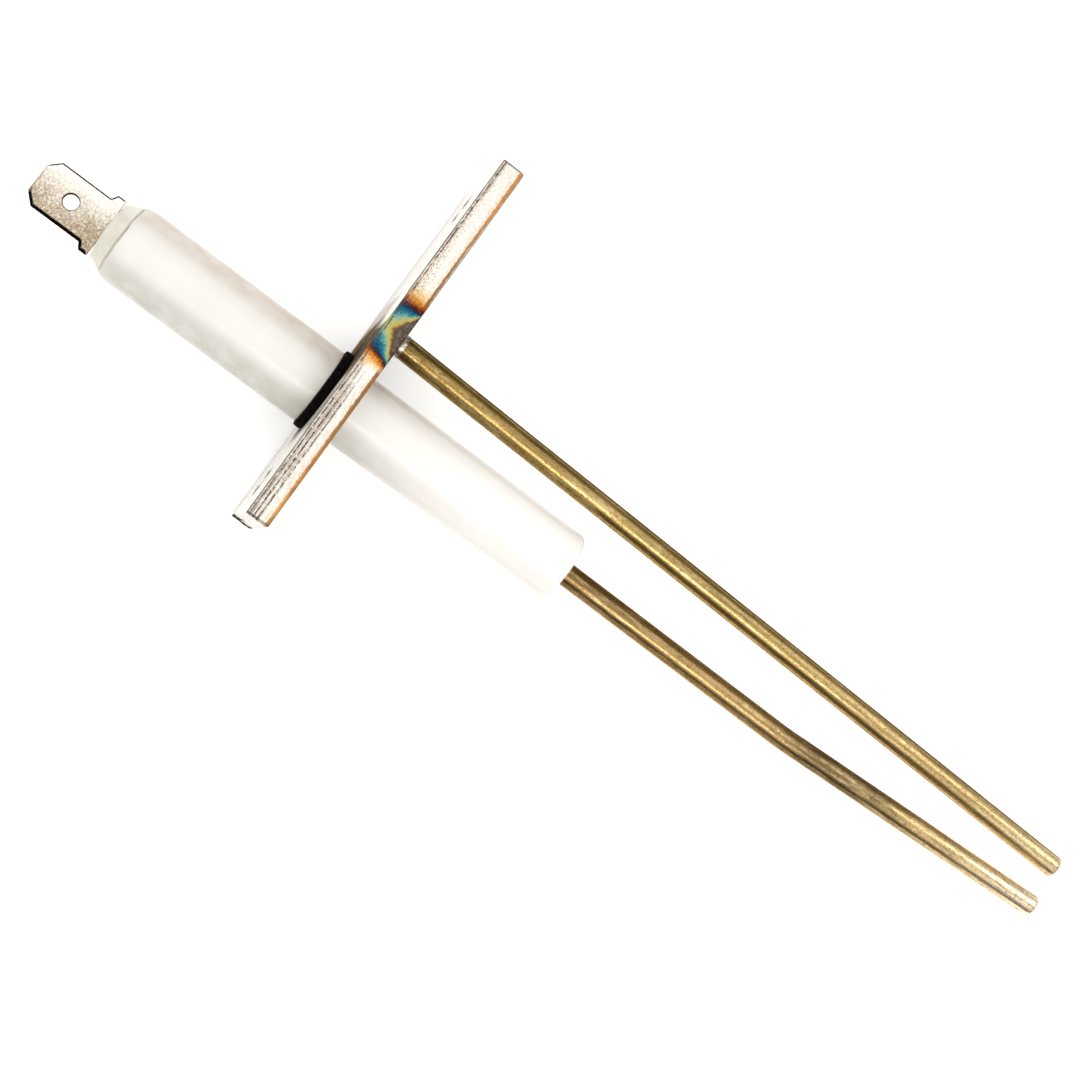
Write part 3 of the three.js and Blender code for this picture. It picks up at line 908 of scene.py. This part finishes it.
def ceramic_insulator():
    rear = insulator_low.x
    front = insulator_high.x
    shoulder = washer_low.x
    chamfer_x = rear + REAR_CHAMFER_LENGTH
    profile = [(rear, POCKET_RADIUS), (rear, REAR_FACE_RADIUS - 0.1 * MM)]
    rim_middle = (rear + REAR_RIM_ROUNDING, REAR_FACE_RADIUS - REAR_RIM_ROUNDING / 2)
    profile += arc(rim_middle, (REAR_RIM_ROUNDING, REAR_RIM_ROUNDING), 150, 118, 3)
    profile += between((rear, REAR_FACE_RADIUS), (chamfer_x, REAR_CHAMFER_RADIUS), 8)
    rounding_radii = (-REAR_ROUNDING, INSULATOR_RADIUS - REAR_CHAMFER_RADIUS)
    profile += arc((chamfer_x + REAR_ROUNDING, REAR_CHAMFER_RADIUS), rounding_radii, 0, 90, 8)
    profile += between((chamfer_x + REAR_ROUNDING, INSULATOR_RADIUS), (shoulder, INSULATOR_RADIUS), 40)
    shoulder_middle = (shoulder - SHOULDER_ROUNDING, INSULATOR_RADIUS - SHOULDER_ROUNDING)
    profile += arc(shoulder_middle, (SHOULDER_ROUNDING, SHOULDER_ROUNDING), 90, 0, 4)
    profile += [(shoulder, NECK_RADIUS), (0.0, NECK_RADIUS)]
    tip_start = (front - FRONT_ROUNDING, INSULATOR_TIP_RADIUS)
    profile += between((0.0, NECK_RADIUS), tip_start, 44)
    profile += arc((tip_start[0], tip_start[1] - FRONT_ROUNDING), (FRONT_ROUNDING, FRONT_ROUNDING), 90, 0, 7)
    profile += [(front, FRONT_POCKET_RADIUS)]
    profile += [(front_cement_low.x, FRONT_POCKET_RADIUS), (front_cement_low.x, BORE_RADIUS)]
    profile += [(rear_cement_high.x, BORE_RADIUS), (rear_cement_high.x, POCKET_RADIUS)]
    return revolve(profile, INSULATOR_SIDES, ceramic_shape, True)


def washer_shape(x, radius, angle):
    y, z = math.cos(angle), math.sin(angle)
    if radius < NECK_RADIUS + 0.3 * MM:
        return x, radius
    return x, radius + 0.07 * MM * wavy(x * 0.5, y * 5 * MM, z * 5 * MM, 1.4 * MM, 5.0)


def seal_washer():
    outer = washer_high.z
    corner = WASHER_ROUNDING
    inner = NECK_RADIUS
    low, high = washer_low.x, washer_high.x
    profile = [(low, inner), (low, inner + 0.35 * MM)]
    profile += arc((low + corner, outer - corner), (corner, corner), 180, 90, 5)
    profile += between((low + corner, outer), (high - corner, outer), 5)
    profile += arc((high - corner, outer - corner), (corner, corner), 90, 0, 5)
    profile += [(high, inner)]
    return revolve(profile, WASHER_SIDES, washer_shape, True)


def cement_shape(x, radius, angle):
    y, z = math.cos(angle) * radius, math.sin(angle) * radius
    return x + 0.10 * MM * wavy(x, y, z, 0.8 * MM), radius


def cement_plug(low_x, high_x, radius, hollow, domed_end):
    """A rough ring of cement, slightly domed at its low end (-1) or its high end (1)."""
    low_end, high_end = [], []
    for step in range(PLUG_RINGS + 1):
        share = step / PLUG_RINGS
        r = hollow + (radius - hollow) * share
        lift = PLUG_RISE * (1 - share * share)
        low_end.append((low_x - lift if domed_end < 0 else low_x, r))
        high_end.append((high_x + lift if domed_end > 0 else high_x, r))
    return revolve(low_end + high_end[::-1], PLUG_SIDES, cement_shape, True)


add_piece("insulator", ceramic_insulator(), "insulator_ceramic", "ceramic_insulator")
add_piece("washer", seal_washer(), "washer_black", "seal_washer")
# The plugs run a little way into the pieces that they hold.
front_plug = cement_plug(
    front_cement_low.x, front_cement_high.x - PLUG_RISE, FRONT_POCKET_RADIUS, ROD_RADIUS * 0.8, 1)
add_piece("front_plug", front_plug, "cement", "front_cement")
rear_plug = cement_plug(rear_cement_low.x + 0.1 * MM, rear_cement_high.x, POCKET_RADIUS, ROD_RADIUS * 0.5, -1)
add_piece("rear_plug", rear_plug, "cement", "rear_cement")
plate_bond = cement_plug(bond_low.x, bond_high.x - 0.1 * MM, bond_high.z + 0.03 * MM, NECK_RADIUS - 0.02 * MM, 1)
add_piece("plate_bond", plate_bond, "cement", "bond_ring")


# -------- rods

ROD_SIDES = 48
ROD_STEP = 0.6 * MM
TIP_CHAMFER = 0.14 * MM
BEND_LENGTH = 3.2 * MM
# A tool mark's half length along the rod, and its half width around it in radians.
MARK_LENGTH = 0.45 * MM
MARK_WIDTH = 0.7


def slope(line, i):
    return (line[i + 1][1] - line[i][1]) / (line[i + 1][0] - line[i][0])


def line_at(line, x):
    """The centre line's y at x, with each bend rounded over BEND_LENGTH."""
    value = line[0][1] + (x - line[0][0]) * slope(line, 0)
    for i in range(1, len(line) - 1):
        change = slope(line, i) - slope(line, i - 1)
        past = x - line[i][0]
        if past >= BEND_LENGTH / 2:
            value += change * past
        elif past > -BEND_LENGTH / 2:
            value += change * (past + BEND_LENGTH / 2) ** 2 / (2 * BEND_LENGTH)
    return value


def rod(line, marks, flat_until=-math.inf):
    """A round rod along the line, with shallow tool marks: (x, angle in degrees, depth). Below the x of
    flat_until its upper side is flat, for the terminal's tail."""
    start, end = line[0][0], line[-1][0]
    steps = round((end - start) / ROD_STEP)
    stations = [start + (end - start - TIP_CHAMFER) * step / steps for step in range(steps + 1)]
    profile = [(x, ROD_RADIUS) for x in stations]
    profile += [(end - TIP_CHAMFER * 0.3, ROD_RADIUS - TIP_CHAMFER * 0.3), (end, ROD_RADIUS - TIP_CHAMFER)]
    profile += [(end + 0.02 * MM, ROD_RADIUS * 0.6), (end + 0.015 * MM, ROD_RADIUS * 0.25)]

    def shape(x, radius, angle):
        y, z = math.cos(angle), math.sin(angle)
        dent = 0.004 * MM * wavy(x * 0.10, y * MM, z * MM, 0.9 * MM, 8.0)
        for mark_x, mark_angle, depth in marks:
            off = (angle - math.radians(mark_angle) + math.pi) % (2 * math.pi) - math.pi
            dent += depth * math.exp(-((x - mark_x) / MARK_LENGTH) ** 2 - (off / MARK_WIDTH) ** 2)
        return x, radius - dent * min(1.0, radius / ROD_RADIUS)

    bm = revolve(profile, ROD_SIDES, shape, False)
    for vert in bm.verts:
        if vert.co.x < flat_until and vert.co.z > tab_low.z:
            vert.co.z = tab_low.z
        vert.co.y += line_at(line, vert.co.x)
    return bm


SPARK_LINE = [
    (spark_low.x, 0.2 * MM),
    (69.4 * MM, -0.7 * MM),
    (spark_high.x, 1.1 * MM),
]
EARTH_LINE = [
    (earth_low.x - 0.4 * MM, 10 * MM),
    (earth_high.x, 7.1 * MM),
]
ROD_FLAT_LENGTH = 4.5 * MM
BEND_MARKS = [
    (68.6 * MM, 60, 0.10 * MM),
    (69.9 * MM, 75, 0.07 * MM),
    (70.6 * MM, -60, 0.06 * MM),
]
EARTH_MARKS = [
    (79.6 * MM, 80, 0.08 * MM),
    (80.6 * MM, 60, 0.05 * MM),
    (100.8 * MM, -70, 0.05 * MM),
]

add_piece("spark_wire", rod(SPARK_LINE, BEND_MARKS, spark_low.x + ROD_FLAT_LENGTH),
          "spark_rod", "spark_rod")
add_piece("earth_wire", rod(EARTH_LINE, EARTH_MARKS), "earth_rod", "earth_rod")


# -------- weld bead

WELD_SIDES = 72
WELD_INTO_PLATE = 0.05 * MM
WELD_RIPPLE = 0.05 * MM
WELD_RIPPLES = 9
WELD_LUMP = 0.16 * MM


def weld_bead():
    """An uneven bead that the rod passes through, concave from the plate to the rod."""
    foot = weld_high.z
    length = weld_high.x
    profile = [(-WELD_INTO_PLATE, foot)]
    profile += arc((length, foot), (length, foot - ROD_RADIUS - 0.06 * MM), 180, 270, 10)
    profile += [(length + 0.25 * MM, ROD_RADIUS + 0.02 * MM), (length + 0.3 * MM, ROD_RADIUS * 0.9)]

    def shape(x, radius, angle):
        y, z = math.cos(angle), math.sin(angle)
        ripple = WELD_RIPPLE * math.sin(angle * WELD_RIPPLES + 2 * math.sin(angle))
        lump = WELD_LUMP * wavy(x, y * 2 * MM, z * 2 * MM, 1.1 * MM, 1.0)
        return x, radius + (ripple + lump) * max(0.0, 1 - x / length)

    bm = revolve(profile, WELD_SIDES, shape, False)
    bmesh.ops.translate(bm, verts=bm.verts, vec=(0, EARTH_ROOT_Y, 0))
    return bm


add_piece("earth_weld", weld_bead(), "weld_metal", "earth_rod_weld")


# -------- terminal

BLADE_HALF_WIDTH = 3.15 * MM
BLADE_TIP_CHAMFER = 1.3 * MM
STOP_ROUNDING = 0.45 * MM
TAIL_HALF_WIDTH = 1.3 * MM
TAB_BEVEL = 0.24 * MM
TAB_LOW_SIDE_BEVEL = 0.44 * MM
HOLE_BEVEL = 0.08 * MM
TAIL_BEVEL = 0.04 * MM
TAB_THICKNESS = tab_high.z - tab_low.z
# Where the rings of the terminal's wall lie, as shares of its thickness.
TAB_RINGS_AT = (0, 0.04, 0.08, 0.14, 0.2, 0.35, 0.5, 0.65, 0.8, 0.86, 0.92, 0.96, 1)


def tab_wall(depth, u, v):
    """Bevelled edges: broad on the blade's outline, more so on its low side, and slight in the hole."""
    is_hole = math.hypot(u - HOLE_X, v) < BLADE_HOLE_RADIUS * 1.3
    width = HOLE_BEVEL if is_hole else TAB_BEVEL
    if v < -BLADE_HALF_WIDTH * 0.5 and not is_hole:
        width = TAB_LOW_SIDE_BEVEL
    if u > STOP_END_X - 0.05 * MM:
        width = TAIL_BEVEL
    from_face = min(depth, TAB_THICKNESS - depth)
    bevel_depth = HOLE_BEVEL if is_hole else TAB_BEVEL
    back = width * max(0.0, 1 - from_face / bevel_depth)
    return back + 0.01 * MM * wavy(u, v, depth, 0.3 * MM)


def terminal_tab():
    stop_half = tab_high.y
    side = [
        (tab_low.x, BLADE_HALF_WIDTH - BLADE_TIP_CHAMFER),
        (tab_low.x + BLADE_TIP_CHAMFER, BLADE_HALF_WIDTH),
        (tab_low.x + BLADE_LENGTH, BLADE_HALF_WIDTH),
        (tab_low.x + BLADE_LENGTH + STOP_ROUNDING, stop_half),
        (STOP_END_X, stop_half),
        (STOP_END_X, TAIL_HALF_WIDTH),
        (tab_high.x, TAIL_HALF_WIDTH),
    ]
    corners = [(x, -y) for x, y in side] + side[::-1]
    outlines = [
        rounded_outline(corners, 0.18 * MM, 0.2 * MM),
        round_outline((HOLE_X, 0), BLADE_HOLE_RADIUS, 0.12 * MM),
    ]
    depths = [TAB_THICKNESS * share for share in TAB_RINGS_AT]
    return sheet(outlines, depths, tab_wall, lambda u, v, depth: (u, v, tab_high.z - depth))


add_piece("blade_terminal", terminal_tab(), "terminal_metal", "terminal_tab")
tail_weld_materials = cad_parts["tail_weld"].data.materials
tail_weld_materials.clear()
tail_weld_materials.append(MATERIALS["weld_metal"])


# -------- table and light

TABLE_HALF_SIZE = 2.0
TABLE_GAP = 0.05 * MM
SKY_STRENGTH = 1.18
SKY_COLOURS = [
    (0.0, (0.50, 0.49, 0.47)),
    (0.25, (0.55, 0.53, 0.50)),
    (0.6, (0.85, 0.83, 0.80)),
    (1.0, (1.0, 1.0, 0.99)),
]
# Cards lying just above the table: name, face, x from and to, y from and to.
LYING_CARD_Z = -0.0095
LYING_CARDS = [
    ("flag_below", "dark_card", (0.003, 0.13), (0.019, 0.055)),
    ("flag_between", "brown_card", (0.034, 0.10), (0.004, 0.014)),
    ("card_below", "grey_card", (0.003, 0.10), (-0.07, -0.016)),
]
# Cards standing beside the object: name, face, x from and to, y, top.
STANDING_CARDS = [
    ("flag_low_side", "dark_card", (-0.25, 0.40), -0.25, 0.16),
    ("flag_high_side", "brown_card", (-0.25, 0.19), 0.25, 0.27),
]
# Lights: name, place, what they point at, size, watts and colour.
LIGHTS = [
    ("key", (-0.15, 0.04, 0.60), (0.03, 0.0, 0.0), (0.50, 0.50), 0.9, (1.0, 0.99, 0.975)),
    ("strip_low_side", (0.13, -0.285, 0.45), (0.05, 0.0, 0.0), (0.31, 0.07), 0.76, (1.0, 0.96, 0.90)),
    ("strip_tips", (0.39, 0.23, 0.42), (0.10, 0.0, 0.0), (0.16, 0.26), 0.40, (1.0, 0.96, 0.90)),
    ("fill_high_side", (0.08, 0.50, 0.45), (0.05, 0.0, 0.0), (0.60, 0.30), 0.55, (1.0, 0.99, 0.97)),
]


def make_floor():
    bm = bmesh.new()
    bmesh.ops.create_grid(bm, x_segments=4, y_segments=4, size=TABLE_HALF_SIZE)
    mesh = bpy.data.meshes.new("floor")
    bm.to_mesh(mesh)
    bm.free()
    floor = add_object("floor", mesh, "floor")
    floor.location.z = cad_low.z - TABLE_GAP


def make_card(name, face, corners):
    """A card that only reflections see: it darkens what polished metal mirrors, and casts no shadow."""
    mesh = bpy.data.meshes.new(name)
    mesh.from_pydata(corners, [], [(0, 1, 2, 3)])
    flag = add_object(name, mesh, face)
    for ray in ("camera", "diffuse", "transmission", "volume_scatter", "shadow"):
        setattr(flag, "visible_" + ray, False)


def area_light(name, place, aim, size, power, colour):
    data = bpy.data.lights.new(name, "AREA")
    data.shape = "RECTANGLE"
    data.size, data.size_y = size
    data.energy = power
    data.color = colour
    light = bpy.data.objects.new(name, data)
    light.location = place
    light.rotation_euler = (Vector(aim) - Vector(place)).to_track_quat("-Z", "Y").to_euler()
    bpy.context.scene.collection.objects.link(light)


def make_sky():
    """A studio's walls and ceiling: bright overhead, dimmer at the level of the table."""
    world = bpy.data.worlds.new("studio")
    tree = ShaderTree(world, "Generated")
    height = tree.axes()[2]
    brightness = tree.ramp(tree.remap(height, 0.0, 1.0), SKY_COLOURS)
    background = tree.node("Background", {"Color": brightness, "Strength": SKY_STRENGTH})
    tree.node("OutputWorld", {"Surface": background.outputs[0]})
    bpy.context.scene.world = world


make_floor()
make_sky()
for name, face, (x0, x1), (y0, y1) in LYING_CARDS:
    make_card(name, face, [(x, y, LYING_CARD_Z) for x, y in ((x0, y0), (x1, y0), (x1, y1), (x0, y1))])
for name, face, (x0, x1), y, top in STANDING_CARDS:
    make_card(name, face, [(x0, y, 0.0), (x1, y, 0.0), (x1, y, top), (x0, y, top)])
for light in LIGHTS:
    area_light(*light)

bpy.context.scene.view_settings.view_transform = "Standard"
bpy.context.scene.view_settings.look = "None"
